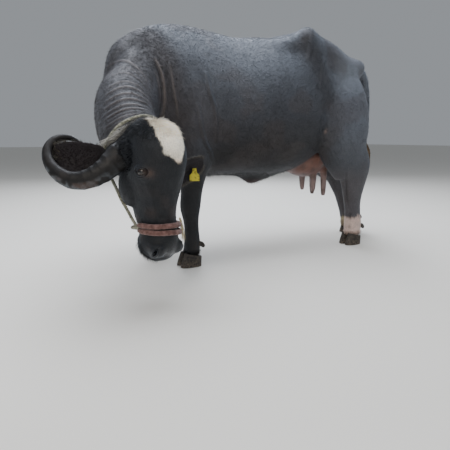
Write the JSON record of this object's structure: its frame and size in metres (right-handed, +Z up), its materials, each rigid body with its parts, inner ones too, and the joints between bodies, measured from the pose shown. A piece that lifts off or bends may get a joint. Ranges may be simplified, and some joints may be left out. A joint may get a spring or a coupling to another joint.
{
  "type": "water buffalo model",
  "caption": "Life-size still model of a horned water buffalo cow, standing with its head lowered and turned, with rope halter and ear tag.",
  "frame": {"origin": "centre of the bounding box's bottom face, on the floor the animal stands on", "axes": "+Z up; the barrel lies along X with its shoulders towards -X and its tail towards +X; the animal's left side looks to -Y, and its head is turned to that side"},
  "size_m": [2.483, 1.2384, 1.437],
  "materials": {
    "hide": "short dark slate hair over grey-black skin, white blaze and white hind socks",
    "udder_skin": "bare greyish pink skin, satin",
    "horn": "grey-black ribbed horn, satin",
    "hoof": "dusty grey hoof horn, matt",
    "eye": "wet, very dark brown, gloss",
    "switch_hair": "coarse tan hair",
    "noseband_cloth": "padded cloth roll, dusty red-brown, matt",
    "rope": "twisted grey-green fibre rope, matt",
    "tag_plastic": "yellow moulded plastic, satin"
  },
  "bodies": {
    "root": {"claw_foreleg_left_a": "hoof", "claw_foreleg_left_b": "hoof", "claw_foreleg_right_a": "hoof", "claw_foreleg_right_b": "hoof", "claw_hindleg_left_a": "hoof", "claw_hindleg_left_b": "hoof", "claw_hindleg_right_a": "hoof", "claw_hindleg_right_b": "hoof", "dewclaw_foreleg_left_a": "hoof", "dewclaw_foreleg_left_b": "hoof", "dewclaw_foreleg_right_a": "hoof", "dewclaw_foreleg_right_b": "hoof", "dewclaw_hindleg_left_a": "hoof", "dewclaw_hindleg_left_b": "hoof", "dewclaw_hindleg_right_a": "hoof", "dewclaw_hindleg_right_b": "hoof", "ear_left": "hide", "ear_right": "hide", "ear_tag": "tag_plastic", "eye_left": "eye", "eye_right": "eye", "foreleg_left": "hide", "foreleg_right": "hide", "halter_rope": "rope", "head": "hide", "hindleg_left": "hide", "hindleg_right": "hide", "horn_left": "horn", "horn_right": "horn", "neck": "hide", "noseband_lower": "noseband_cloth", "noseband_upper": "noseband_cloth", "tail": "hide", "tail_switch": "switch_hair", "trunk": "hide", "udder": "udder_skin"}
  },
  "joints": []
}
